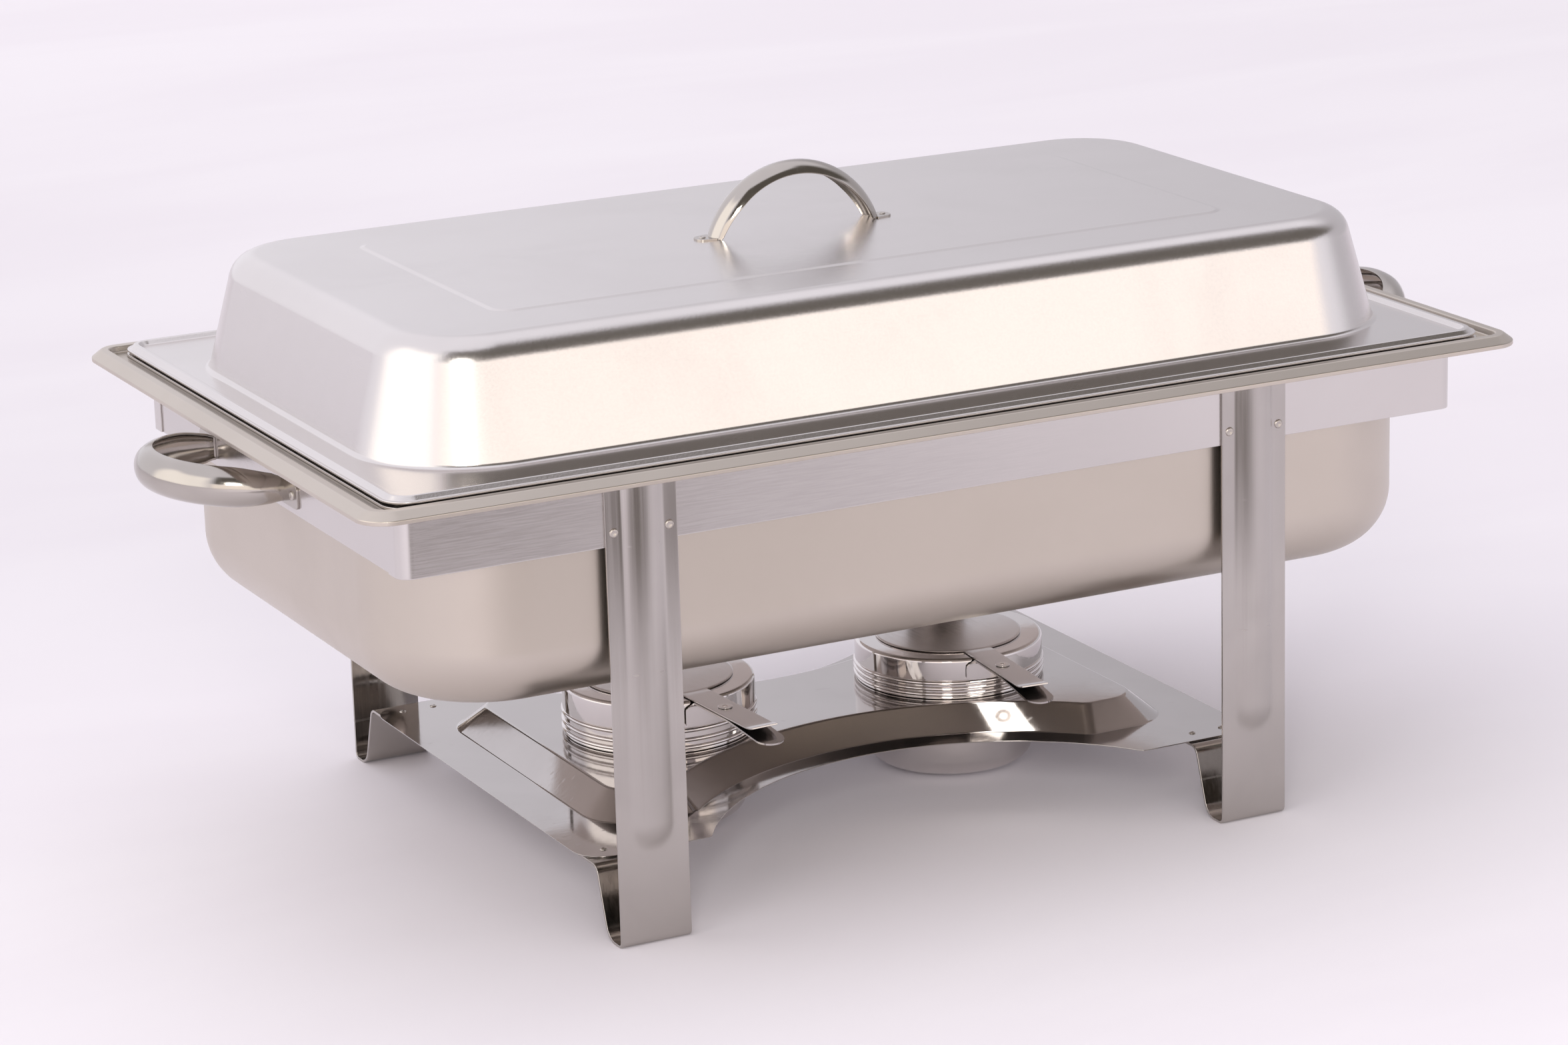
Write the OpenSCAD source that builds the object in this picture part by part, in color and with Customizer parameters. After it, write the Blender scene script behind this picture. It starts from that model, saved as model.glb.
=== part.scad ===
// Chafing dish food warmer: folded sheet frame with two lift-out fuel burners, water pan, food pan and lid.
// Units are millimetres. X runs along the length, Y along the depth, Z up. The feet stand on z = 0.

/* [Frame] */
// Half length of the frame skirt, over the outside
skirt_half_x = 257; // [220:1:280]
// Half depth of the frame skirt, over the outside
skirt_half_y = 148; // [120:1:170]
// Height of the top edge of the skirt above the table
skirt_top_z = 208.8; // [180:0.2:240]
// Height of the skirt sheet
skirt_h = 32; // [20:0.5:50]
// Corner radius of the skirt
skirt_r = 11; // [6:0.5:30]
// Thickness of the skirt sheet
skirt_t = 0.8; // [0.5:0.1:1.5]

/* [Legs] */
// Distance from the middle of the frame to the middle of each leg, along the length
leg_x = 149.7; // [100:0.5:200]
// Width of each leg strap
leg_w = 33; // [20:1:45]
// Thickness of the leg strap
leg_t = 1.2; // [0.8:0.1:2]
// Chord width of the stiffening rib pressed into each leg
rib_w = 19; // [12:0.5:24]
// Radius of the rib face
rib_r = 16; // [12:0.5:30]
// Height of the lower end of the rib above the table
rib_foot_z = 44; // [35:1:80]
// Outer radius of the rear bend of the foot
foot_r = 11.5; // [8:0.5:16]
// Lean of the inner wall of the foot hook from upright, degrees
hook_lean = 18.4; // [5:0.1:30]
// Height of the top of the hook, which carries the shelf
hook_z = 31; // [25:0.5:45]

/* [Burner shelf] */
// Half length of the shelf border
shelf_half_x = 168.5; // [150:0.5:180]
// Half depth of the shelf border
shelf_half_y = 121; // [112:0.5:124]
// Thickness of the shelf sheet
shelf_t = 0.8; // [0.5:0.1:1.5]
// Height of the raised platform above the border
platform_h = 10.8; // [8:0.2:20]
// Half length of the platform at its foot
platform_half_x = 145.5; // [130:0.5:155]
// Half depth of the platform at its foot
platform_half_y = 89; // [80:0.5:100]
// Inward lean of the platform wall over its height
platform_lean = 12.5; // [3:0.5:16]
// Corner radius of the platform at its foot
platform_r = 27; // [18:0.5:32]
// Radius of the curved bite along each long side
bite_r = 127; // [110:1:150]
// Depth of metal left between the middle of the shelf and each bite
bite_y = 59.5; // [48:0.5:70]
// Width of the border left between the bite and the platform
bite_border = 13; // [10:0.5:20]

/* [Burners] */
// Distance of each burner from the middle of the shelf
burner_x = 75.3; // [60:0.1:85]
// Turn of the left burner about its axis, grip toward the middle
burner_turn_left = 3; // [-10:0.1:10]
// Turn of the right burner about its axis, grip toward the middle
burner_turn_right = -5.3; // [-10:0.1:10]
// Outside radius of the burner cover
cover_r = 44; // [40:0.5:48]
// Height of the left burner cover, which sits high on its collar
cover_h_left = 23.8; // [12:0.1:30]
// Height of the right burner cover
cover_h_right = 19.2; // [12:0.1:30]
// Outside radius of the fuel cup below the shelf
cup_r = 39; // [30:0.2:40]
// Height of the cup bottom above the table
cup_foot_z = 2.4; // [1:0.1:20]
// Radius of the opening in the cover
cover_hole_r = 31; // [24:0.5:34]
// Radius of the snuffer disc
snuffer_r = 34.3; // [30:0.1:38]
// Distance of the pivot eyelet from the burner middle
pivot_y = 62.5; // [55:0.1:80]
// Distance of the snuffer tail end from the burner middle
tail_end_y = 98; // [90:0.1:110]
// Distance of the grip end from the burner middle
grip_end_y = 108; // [100:0.5:125]
// Drop of the grip at its rounded end
grip_drop = 3.3; // [0:0.1:6]
// Width of the tail and of the grip
tail_w = 13.5; // [10:0.5:20]

/* [Water pan] */
// Half length over the rim
rim_half_x = 279.3; // [260:0.1:300]
// Half depth over the rim
rim_half_y = 171.7; // [160:0.1:190]
// Corner radius of the rim
rim_r = 14; // [11:0.5:30]
// Half length of the pan body
tank_half_x = 252.8; // [230:0.1:253]
// Half depth of the pan body
tank_half_y = 144; // [120:0.1:144]
// Corner radius of the pan body
tank_r = 58; // [45:1:70]
// Radius between wall and bottom
tank_bend_r = 35; // [15:1:40]
// Height of the pan bottom above the table
tank_foot_z = 109; // [90:0.5:130]

/* [Food pan] */
// Half length over the food pan rim
food_half_x = 265; // [250:0.5:268]
// Half depth over the food pan rim
food_half_y = 162.5; // [150:0.5:163]
// Half length of the food pan body
well_half_x = 247.5; // [220:0.5:248]
// Half depth of the food pan body
well_half_y = 139; // [110:0.5:139]
// Depth of the food pan
well_depth = 65; // [40:1:90]

/* [Lid] */
// Half length over the lid flange
lid_half_x = 265; // [250:0.5:268]
// Half depth over the lid flange
lid_half_y = 161.5; // [150:0.5:163]
// Half length of the dome at its foot
dome_half_x = 248.5; // [220:0.5:250]
// Half depth of the dome at its foot
dome_half_y = 132; // [110:0.5:140]
// Corner radius of the dome at its foot
dome_r = 52; // [40:1:70]
// Height of the lid top above the table
lid_top_z = 265; // [240:0.5:300]
// Lean of the dome wall from upright, degrees
dome_lean = 15; // [5:0.5:30]
// Radius between dome wall and top
dome_bend_r = 18; // [8:0.5:20]
// Thickness of the pan and lid sheets
pan_t = 0.8; // [0.5:0.1:1]

/* [Handles] */
// Outside radius of the lid handle arch
arch_r = 44.6; // [35:0.2:60]
// Height of the lid handle above the lid
arch_rise = 31; // [20:0.5:40]
// Radius of the lid handle channel section
arch_section_r = 8.6; // [6:0.2:12]
// Outside radius of the side handle bow
bow_r = 45; // [35:0.5:55]
// Radius of the side handle channel section
bow_section_r = 9; // [6:0.5:12]
// Reach of the left side handle out from the skirt
bow_reach_left = 50; // [47:0.1:60]
// Reach of the right side handle, along its tilt
bow_reach_right = 53.6; // [47:0.1:60]
// Sideways offset of each side handle from the middle of its end
bow_offset_y = 24; // [0:1:40]
// Height of the side handle where it meets the skirt
bow_z = 185.3; // [183:0.1:195]
// Upward tilt of the left side handle, degrees
bow_tilt_left = 6; // [0:1:30]
// Upward tilt of the right side handle, degrees
bow_tilt_right = 24; // [0:1:25]

/* [Hidden] */
$fn = 72;
seat_gap = 0.2;                                   // air between a part that lifts off and its seat
skirt_foot_z = skirt_top_z - skirt_h;
lap_y = skirt_half_y - skirt_r - 2;               // end of the skirt wrap round each corner
end_face_x = skirt_half_x - skirt_t;              // outer face of the end sheets
leg_face_y = skirt_half_y + leg_t;                // outer face of the legs
leg_top_z = skirt_top_z - 2.3;
front_bend_r = 3.2;
shelf_z = hook_z;                                 // underside of the shelf border
border_z = shelf_z + shelf_t;
platform_z = border_z + platform_h;               // top of the platform
bite_cy = bite_y + bite_r;                        // middle of each bite circle
cup_t = 0.8;
cup_bend_r = 8;
cup_flange_z = platform_z + seat_gap;
cover_foot_z = cup_flange_z + cup_t;
snuffer_t = 0.8;
eyelet_r = 2.2;
eyelet_fit = 0.05;
grip_bend_y = 78;                                  // where the grip starts to drop
tank_flange_z = skirt_top_z + seat_gap;           // underside of the water pan flange
tank_seat_z = tank_flange_z + pan_t;              // recess floor that carries the food pan
food_edge_z = tank_seat_z + seat_gap;
food_flange_z = food_edge_z + 1.4;
food_seat_z = food_flange_z + pan_t;
lid_edge_z = food_seat_z + seat_gap;
lid_flange_z = lid_edge_z + 0.2;
lid_face_z = lid_flange_z + pan_t;                // upper face of the lid flange
leg_rivet_x = 12.7;
leg_rivet_z = 183;
rivet_r = 1.4;
rivet_head_r = 2.3;
shelf_rivet_x = [140.5, 156];
shelf_rivet_y = 111.5;
tab_reach = 14;                                   // length of each side handle tab
tab_h = 11;
tab_t = 1;
arch_mid_z = lid_top_z + arch_rise - arch_r;
arch_half_x = sqrt(arch_r * arch_r - pow(lid_top_z - arch_mid_z, 2));
lug_reach = 6.5;

steel = [0.80, 0.79, 0.78];
satin = [0.72, 0.71, 0.70];
mirror_steel = [0.86, 0.85, 0.84];
rivet_steel = [0.60, 0.58, 0.56];

// ---- shared shapes ----

// Flat ring sector of outer radius ro and thickness t, between two angles less than 180 degrees apart
module arc_band(ro, t, a0, a1) {
    reach = ro * 3;
    mid = (a0 + a1) / 2;
    intersection() {
        difference() {
            circle(r = ro);
            circle(r = ro - t);
        }
        polygon([[0, 0], reach * [cos(a0), sin(a0)], reach * [cos(mid), sin(mid)], reach * [cos(a1), sin(a1)]]);
    }
}

// Points along an arc, for outlines that are drawn in one piece
function arc_points(mid, r, a0, a1, n) = [for (i = [0 : n]) let (a = a0 + (a1 - a0) * i / n) mid + r * [cos(a), sin(a)]];

// Profile carried round a rounded rectangle; profile x is measured from the corner middle, profile y is height
module round_sweep(hx, hy, r) {
    cx = hx - r;
    cy = hy - r;
    for (q = [0 : 3]) {
        sx = (q == 0 || q == 3) ? 1 : -1;
        sy = (q < 2) ? 1 : -1;
        translate([sx * cx, sy * cy, 0]) rotate([0, 0, 90 * q]) rotate_extrude(angle = 90) children();
        side = (q % 2 == 0) ? [cx, cy] : [cy, cx];
        rotate([0, 0, 90 * q]) translate([side[0], 0, 0]) rotate([90, 0, 0])
            linear_extrude(height = 2 * side[1], center = true) children();
    }
}

// Flat rounded rectangle
module round_flat(hx, hy, r) {
    square([2 * hx, 2 * (hy - r)], center = true);
    square([2 * (hx - r), 2 * hy], center = true);
    for (sx = [-1, 1], sy = [-1, 1]) translate([sx * (hx - r), sy * (hy - r)]) circle(r = r);
}

module round_plate(hx, hy, r, z, t) {
    translate([0, 0, z]) linear_extrude(height = t) round_flat(hx, hy, r);
}

// Flat flange between an outer rounded rectangle and an opening
module flange_plate(outer, opening, z, t) {
    translate([0, 0, z]) linear_extrude(height = t) difference() {
        round_flat(outer[0], outer[1], outer[2]);
        round_flat(opening[0], opening[1], opening[2]);
    }
}

// Rivet along +Z with its head on top, seated at z = 0
module rivet(shank, head_r, shank_r) {
    head_h = 0.7;
    translate([0, 0, -shank]) cylinder(r = shank_r, h = shank + 0.1);
    intersection() {
        cylinder(r = head_r, h = head_h);
        translate([0, 0, head_h - head_r * 1.8]) sphere(r = head_r * 1.8);
    }
}

// ---- frame ----

module leg_rivet_spots(sx, r, h) {
    for (dx = [-1, 1]) translate([sx * leg_x + dx * leg_rivet_x, -skirt_half_y, leg_rivet_z])
        rotate([90, 0, 0]) cylinder(r = r, h = h, center = true);
}

module skirt_long() {
    h0 = skirt_foot_z;
    difference() {
        union() {
            translate([0, -skirt_half_y + skirt_t / 2, h0 + skirt_h / 2])
                cube([2 * (skirt_half_x - skirt_r), skirt_t, skirt_h], center = true);
            for (s = [-1, 1]) {
                translate([s * (skirt_half_x - skirt_r), skirt_r - skirt_half_y, h0])
                    rotate([0, 0, s > 0 ? -90 : 180]) rotate_extrude(angle = 90)
                        translate([skirt_r - skirt_t, 0]) square([skirt_t, skirt_h]);
                lap = skirt_half_y - skirt_r - lap_y;
                translate([s * (skirt_half_x - skirt_t / 2), skirt_r - skirt_half_y + lap / 2, h0 + skirt_h / 2])
                    cube([skirt_t, lap, skirt_h], center = true);
            }
        }
        for (s = [-1, 1]) leg_rivet_spots(s, rivet_r, 6);
    }
}

module skirt_front() color(steel) skirt_long();

module skirt_back() color(steel) rotate([0, 0, 180]) skirt_long();

module skirt_end(s, offset_y) {
    inner = end_face_x - skirt_t;
    half = skirt_half_y - skirt_r - 0.2;
    difference() {
        translate([s * (inner + skirt_t / 2), 0, skirt_foot_z + skirt_h / 2])
            cube([skirt_t, 2 * half, skirt_h], center = true);
        for (d = [-1, 1]) translate([s * end_face_x, offset_y + d * (bow_r + tab_reach / 2 + 1), bow_z])
            rotate([0, 90, 0]) cylinder(r = rivet_r, h = 6, center = true);
    }
}

module skirt_left() color(steel) skirt_end(-1, bow_offset_y);

module skirt_right() color(steel) skirt_end(1, -bow_offset_y);

// Side view of the bent strap, x inward from the front face and y up
module strap_profile() {
    hook_dir = [sin(hook_lean), cos(hook_lean)];
    hook_out = [cos(hook_lean), -sin(hook_lean)];
    rear_mid = [5.7, foot_r];
    p1 = rear_mid + foot_r * hook_out;
    top_r = 4;
    run = (hook_z - leg_t - p1[1] - top_r * (1 - sin(hook_lean))) / cos(hook_lean);
    p2 = p1 + run * hook_dir;
    top_mid = p2 + top_r * hook_out;
    front_mid = [front_bend_r, front_bend_r];
    flange_end = top_mid[0] + 16.5;
    steps = 8;
    polygon(concat(
        [[0, leg_top_z]],
        arc_points(front_mid, front_bend_r, 180, 270, steps),
        arc_points(rear_mid, foot_r, 270, 360 - hook_lean, steps),
        arc_points(top_mid, top_r, 180 - hook_lean, 90, steps),
        [[flange_end, hook_z - leg_t], [flange_end, hook_z]],
        arc_points(top_mid, top_r + leg_t, 90, 180 - hook_lean, steps),
        arc_points(rear_mid, foot_r - leg_t, 360 - hook_lean, 270, steps),
        arc_points(front_mid, front_bend_r - leg_t, 270, 180, steps),
        [[leg_t, leg_top_z]]));
}

// Rounded bar that forms the rib when it is added outside and taken away inside
module rib_bar(grow) {
    sag = rib_r - sqrt(rib_r * rib_r - rib_w * rib_w / 4);
    tip_z = rib_foot_z + rib_w / 2;
    translate([0, -leg_face_y - sag + rib_r, tip_z]) {
        cylinder(r = rib_r + grow, h = leg_top_z - tip_z);
        sphere(r = rib_r + grow);
    }
}

module leg(s) {
    difference() {
        union() {
            translate([s * leg_x - leg_w / 2, -leg_face_y, 0]) rotate([90, 0, 90])
                linear_extrude(height = leg_w) strap_profile();
            intersection() {
                translate([s * leg_x, 0, 0]) rib_bar(0);
                translate([s * leg_x - rib_r, -leg_face_y - 8, 20]) cube([2 * rib_r, 8 + leg_t, 200]);
            }
        }
        intersection() {
            translate([s * leg_x, 0, 0]) rib_bar(-leg_t);
            translate([s * leg_x - rib_r, -leg_face_y - 9, 20]) cube([2 * rib_r, 9 + leg_t + 0.01, 200]);
        }
        leg_rivet_spots(s, rivet_r, 6);
        for (x = shelf_rivet_x) translate([s * x, -shelf_rivet_y, hook_z]) cylinder(r = rivet_r, h = 6, center = true);
    }
}

module leg_front_left() color(mirror_steel) leg(-1);

module leg_front_right() color(mirror_steel) leg(1);

module leg_back_left() color(mirror_steel) mirror([0, 1, 0]) leg(-1);

module leg_back_right() color(mirror_steel) mirror([0, 1, 0]) leg(1);

module leg_rivet_pair(s) {
    for (dx = [-1, 1]) translate([s * leg_x + dx * leg_rivet_x, -leg_face_y, leg_rivet_z])
        rotate([90, 0, 0]) rivet(leg_t + skirt_t, rivet_head_r, rivet_r);
}

module leg_rivets_front_left() color(rivet_steel) leg_rivet_pair(-1);

module leg_rivets_front_right() color(rivet_steel) leg_rivet_pair(1);

module leg_rivets_back_left() color(rivet_steel) mirror([0, 1, 0]) leg_rivet_pair(-1);

module leg_rivets_back_right() color(rivet_steel) mirror([0, 1, 0]) leg_rivet_pair(1);

// Solid block with leaning walls and both bites taken out; shrink narrows it, drop lowers its top
module platform_block(shrink, drop) {
    hx = platform_half_x - shrink;
    hy = platform_half_y - shrink;
    r = platform_r - shrink;
    top = platform_z - drop;
    foot = shelf_z - 1;
    lean = platform_lean / platform_h;
    edge = [for (z = [foot, top]) r - lean * (z - border_z)];
    difference() {
        union() {
            round_sweep(hx, hy, r) polygon([[0, foot], [edge[0], foot], [edge[1], top], [0, top]]);
            translate([0, 0, (foot + top) / 2]) cube([2 * hx - r, 2 * (hy - r), top - foot], center = true);
            translate([0, 0, (foot + top) / 2]) cube([2 * (hx - r), 2 * hy - r, top - foot], center = true);
        }
        for (s = [-1, 1]) translate([0, s * bite_cy, foot - 1])
            cylinder(r1 = bite_r + bite_border + shrink - lean * (border_z - foot + 1),
                     r2 = bite_r + bite_border + shrink + lean * (top - border_z + 1), h = top - foot + 2);
    }
}

module shelf() color(mirror_steel) difference() {
    union() {
        difference() {
            union() {
                round_plate(shelf_half_x, shelf_half_y, 15, shelf_z, shelf_t);
                intersection() {
                    platform_block(0, 0);
                    translate([0, 0, shelf_z + 30]) cube([400, 300, 60], center = true);
                }
            }
            platform_block(shelf_t * 1.1, shelf_t);
        }
    }
    for (s = [-1, 1]) {
        translate([0, s * bite_cy, shelf_z - 1]) cylinder(r = bite_r, h = 4);
        translate([s * burner_x, 0, platform_z - 3]) cylinder(r = cup_r + 0.8, h = 6);
        for (x = shelf_rivet_x, y = [-1, 1]) translate([s * x, y * shelf_rivet_y, shelf_z])
            cylinder(r = rivet_r, h = 6, center = true);
    }
}

module shelf_rivets() color(rivet_steel)
    for (s = [-1, 1], x = shelf_rivet_x, y = [-1, 1])
        translate([s * x, y * shelf_rivet_y, border_z]) rivet(shelf_t + leg_t, rivet_head_r * 0.8, rivet_r);

// Side handle: half-round channel bent to a bow, open side inward, with a flat tab at each end
module bow_handle(reach, tilt) {
    run = reach - bow_r;
    difference() {
        union() {
            rotate([0, -tilt, 0]) {
                translate([run, 0, 0]) rotate([0, 0, -90]) rotate_extrude(angle = 180)
                    translate([bow_r - bow_section_r, 0]) arc_band(bow_section_r, tab_t, -80, 80);
                for (d = [-1, 1]) translate([run / 2 - 4, d * (bow_r - bow_section_r), 0])
                    rotate([0, 0, d > 0 ? 90 : -90]) rotate([90, 0, 0])
                        linear_extrude(height = run + 8, center = true) arc_band(bow_section_r, tab_t, -80, 80);
            }
            for (d = [-1, 1]) translate([0, d * bow_r, -tab_h / 2]) {
                translate([0, d > 0 ? -3 : 5 - tab_reach, 0]) cube([tab_t, tab_reach - 2, tab_h]);
                translate([tab_t / 2, d * (tab_reach - 3.5), tab_h / 2])
                    cube([tab_t, 9, tab_h - 5], center = true);
                for (k = [-1, 1]) translate([0, d * (tab_reach - 1.5), tab_h / 2 + k * (tab_h / 2 - 2.5)])
                    rotate([0, 90, 0]) cylinder(r = 2.5, h = tab_t);
                translate([tab_t / 2, d * (tab_reach - 3.5), tab_h / 2]) cube([tab_t, 4, tab_h], center = true);
            }
        }
        translate([-25, 0, 0]) cube([50, 200, 100], center = true);
        for (d = [-1, 1]) translate([0, d * (bow_r + tab_reach / 2 + 1), 0])
            rotate([0, 90, 0]) cylinder(r = rivet_r, h = 6, center = true);
    }
}

module bow_rivets() {
    for (d = [-1, 1]) translate([tab_t, d * (bow_r + tab_reach / 2 + 1), 0])
        rotate([0, 90, 0]) rivet(tab_t + skirt_t, rivet_head_r, rivet_r);
}

module handle_left() color(steel)
    mirror([1, 0, 0]) translate([end_face_x, bow_offset_y, bow_z]) bow_handle(bow_reach_left, bow_tilt_left);

module handle_right() color(steel)
    translate([end_face_x, -bow_offset_y, bow_z]) bow_handle(bow_reach_right, bow_tilt_right);

module handle_rivets_left() color(rivet_steel)
    mirror([1, 0, 0]) translate([end_face_x, bow_offset_y, bow_z]) bow_rivets();

module handle_rivets_right() color(rivet_steel)
    translate([end_face_x, -bow_offset_y, bow_z]) bow_rivets();

// ---- water pan, food pan and lid ----

module water_pan() color(satin) {
    seat = tank_seat_z;
    under = tank_flange_z;
    ridge = seat + 2.8;
    bend = 3;
    edge = rim_r;
    round_sweep(rim_half_x, rim_half_y, rim_r) polygon([
        [edge - 9.5, under], [edge - 8.2, under], [edge - 7.4, ridge - pan_t], [edge - 4.6, ridge - pan_t],
        [edge - 0.8, under - 0.4], [edge - 0.8, under - 1.4], [edge, under - 1.4], [edge, under + 0.1],
        [edge - 4.3, ridge], [edge - 8, ridge], [edge - 8.9, seat], [edge - 9.5, seat]]);
    flange_plate([rim_half_x - 9.5, rim_half_y - 9.5, rim_r - 9.5],
                 [tank_half_x - pan_t + bend, tank_half_y - pan_t + bend, tank_r - pan_t + bend], under, pan_t);
    wall_top = seat - bend;
    wall_foot = tank_foot_z + tank_bend_r;
    round_sweep(tank_half_x, tank_half_y, tank_r) {
        translate([tank_r - pan_t + bend, wall_top]) arc_band(bend, pan_t, 90, 180);
        translate([tank_r - pan_t, wall_foot]) square([pan_t, wall_top - wall_foot]);
        translate([tank_r - tank_bend_r, wall_foot]) arc_band(tank_bend_r, pan_t, 270, 360);
    }
    round_plate(tank_half_x - tank_bend_r, tank_half_y - tank_bend_r, tank_r - tank_bend_r, tank_foot_z, pan_t);
}

module food_pan() color(satin) {
    low = food_edge_z;
    under = food_flange_z;
    seat = food_seat_z;
    bend = 3;
    edge = 12;
    round_sweep(food_half_x, food_half_y, edge) polygon([
        [edge, low], [edge, low + 0.9], [edge - 5.2, seat], [edge - 9, seat],
        [edge - 9, under], [edge - 5, under], [edge - 0.8, low + 0.3], [edge - 0.8, low]]);
    body_r = 55;
    flange_plate([food_half_x - 9, food_half_y - 9, edge - 9],
                 [well_half_x - pan_t + bend, well_half_y - pan_t + bend, body_r - pan_t + bend], under, pan_t);
    bend_r = 22;
    wall_top = seat - bend;
    foot = seat - well_depth;
    wall_foot = foot + bend_r;
    round_sweep(well_half_x, well_half_y, body_r) {
        translate([body_r - pan_t + bend, wall_top]) arc_band(bend, pan_t, 90, 180);
        translate([body_r - pan_t, wall_foot]) square([pan_t, wall_top - wall_foot]);
        translate([body_r - bend_r, wall_foot]) arc_band(bend_r, pan_t, 270, 360);
    }
    round_plate(well_half_x - bend_r, well_half_y - bend_r, body_r - bend_r, foot, pan_t);
}

module lid_shell() color(satin) {
    edge = 12;
    low = lid_edge_z;
    under = lid_flange_z;
    face = lid_face_z;
    round_sweep(lid_half_x, lid_half_y, edge) polygon([
        [edge, low], [edge, low + 0.6], [edge - 1.4, face - 0.2], [edge - 3.4, face + 1.8],
        [edge - 5.2, face + 1.8], [edge - 7.2, face], [edge - 9, face], [edge - 9, under],
        [edge - 7, under], [edge - 5, face + 1], [edge - 3.6, face + 1], [edge - 1.8, low]]);
    fillet = 4;
    fillet_x = fillet * (1 - sin(dome_lean)) / cos(dome_lean);
    flange_plate([lid_half_x - 9, lid_half_y - 9, edge - 9],
                 [dome_half_x + fillet_x, dome_half_y + fillet_x, dome_r + fillet_x], under, pan_t);
    top_mid_z = lid_top_z - dome_bend_r;
    inset = (dome_bend_r + (top_mid_z - face) * sin(dome_lean)) / cos(dome_lean);
    foot_mid = [dome_r + fillet_x, face + fillet];
    top_mid = [dome_r - inset, top_mid_z];
    round_sweep(dome_half_x, dome_half_y, dome_r) polygon(concat(
        arc_points(foot_mid, fillet, 270, 180 + dome_lean, 4),
        arc_points(top_mid, dome_bend_r, dome_lean, 90, 10),
        arc_points(top_mid, dome_bend_r - pan_t, 90, dome_lean, 10),
        arc_points(foot_mid, fillet + pan_t, 180 + dome_lean, 270, 4)));
    round_plate(dome_half_x - inset, dome_half_y - inset, dome_r - inset, lid_top_z - pan_t, pan_t);
}

module lid_handle() color(steel) {
    skin = 0.9;
    lug_h = 0.8;
    intersection() {
        translate([0, 0, arch_mid_z]) rotate([90, 0, 0]) rotate([0, 0, 5]) rotate_extrude(angle = 170)
            translate([arch_r - arch_section_r, 0]) arc_band(arch_section_r, skin, -65, 65);
        translate([0, 0, lid_top_z + 50]) cube([120, 40, 100], center = true);
    }
    for (s = [-1, 1]) difference() {
        translate([s * (arch_half_x - 1.5), 0, lid_top_z]) {
            translate([s > 0 ? 0 : -lug_reach + 2, -6, 0]) cube([lug_reach - 2, 12, lug_h]);
            translate([s * (lug_reach - 2), 0, 0]) cylinder(r = 3.5, h = lug_h);
        }
        translate([s * (arch_half_x + 3), 0, lid_top_z]) cylinder(r = 1, h = 4, center = true);
    }
}

module lid_handle_rivets() color(rivet_steel)
    for (s = [-1, 1]) translate([s * (arch_half_x + 3), 0, lid_top_z + 0.8]) rivet(0.8, 1.8, 1);

// ---- burners ----

// Height of a burner cover's top face above the table
function cover_top(s) = cup_flange_z + (s < 0 ? cover_h_left : cover_h_right);

function snuffer_foot(s) = cover_top(s) + 0.3;

module at_burner(s)
    translate([s * burner_x, 0, 0]) rotate([0, 0, s < 0 ? burner_turn_left : burner_turn_right]) children();

module fuel_cup(s) color(mirror_steel) at_burner(s) rotate_extrude() {
    wall_foot = cup_foot_z + cup_bend_r;
    translate([cup_r - cup_t, cup_flange_z]) square([cover_r - 0.2 - cup_r + cup_t, cup_t]);
    translate([cup_r - cup_t, wall_foot]) square([cup_t, cup_flange_z - wall_foot]);
    translate([cup_r - cup_bend_r, wall_foot]) arc_band(cup_bend_r, cup_t, 270, 360);
    translate([0, cup_foot_z]) square([cup_r - cup_bend_r, cup_t]);
}

module cover(s) color(mirror_steel) at_burner(s) rotate_extrude() {
    round_r = 1.8;
    top = cover_top(s);
    translate([cover_r - cup_t, cover_foot_z]) square([cup_t, top - round_r - cover_foot_z]);
    for (z = s < 0 ? [1.4, 5, 9.4] : [1.4, 4.1, 6.8]) translate([cover_r - 0.1, cover_foot_z + z]) intersection() {
        circle(r = 1);
        translate([-0.5, -1]) square([2, 2]);
    }
    translate([cover_r - round_r, top - round_r]) arc_band(round_r, cup_t, 0, 90);
    translate([cover_hole_r, top - cup_t]) square([cover_r - round_r - cover_hole_r, cup_t]);
    translate([cover_hole_r, top - 3]) square([cup_t, 3 - cup_t]);
}

module grip(s) color(mirror_steel) at_burner(s) {
    pad_w = 20;
    pad_h = s < 0 ? 10.8 : 9.2;
    round_end = tail_w / 2;
    top = cover_top(s);
    difference() {
        union() {
            intersection() {
                difference() {
                    translate([0, 0, top - cup_t - pad_h]) cylinder(r = cover_r + 1, h = pad_h + cup_t);
                    translate([0, 0, 0]) cylinder(r = cover_r, h = 100);
                }
                translate([0, -cover_r, top - 10]) cube([pad_w, 12, 30], center = true);
            }
            intersection() {
                rotate([90, 0, 90]) linear_extrude(tail_w, center = true) polygon([
                    [-cover_r - 0.2, top], [-grip_bend_y, top], [-grip_end_y, top - grip_drop],
                    [-grip_end_y, top - grip_drop - cup_t], [-grip_bend_y, top - cup_t], [-cover_r - 0.2, top - cup_t]]);
                union() {
                    translate([-tail_w / 2, -grip_end_y + round_end, top - 10])
                        cube([tail_w, grip_end_y - round_end - cover_r - 0.2, 20]);
                    translate([0, -grip_end_y + round_end, top - 10]) cylinder(r = round_end, h = 20);
                }
            }
        }
        translate([0, -pivot_y, top]) cylinder(r = eyelet_r, h = 6, center = true);
        for (d = [-1, 1]) rotate([0, 0, 7.5 * d]) translate([0, -cover_r - 0.5, top - 7])
            rotate([90, 0, 0]) cylinder(r = 0.9, h = 4, center = true);
        translate([0, 0, 0]) cylinder(r = cover_r, h = 100);
    }
}

module grip_rivets(s) color(rivet_steel) at_burner(s)
    for (d = [-1, 1]) rotate([0, 0, 7.5 * d]) translate([0, -cover_r - 1.05, cover_top(s) - 7])
        rotate([90, 0, 0]) rivet(0.95, 1.5, 0.9);

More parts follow.
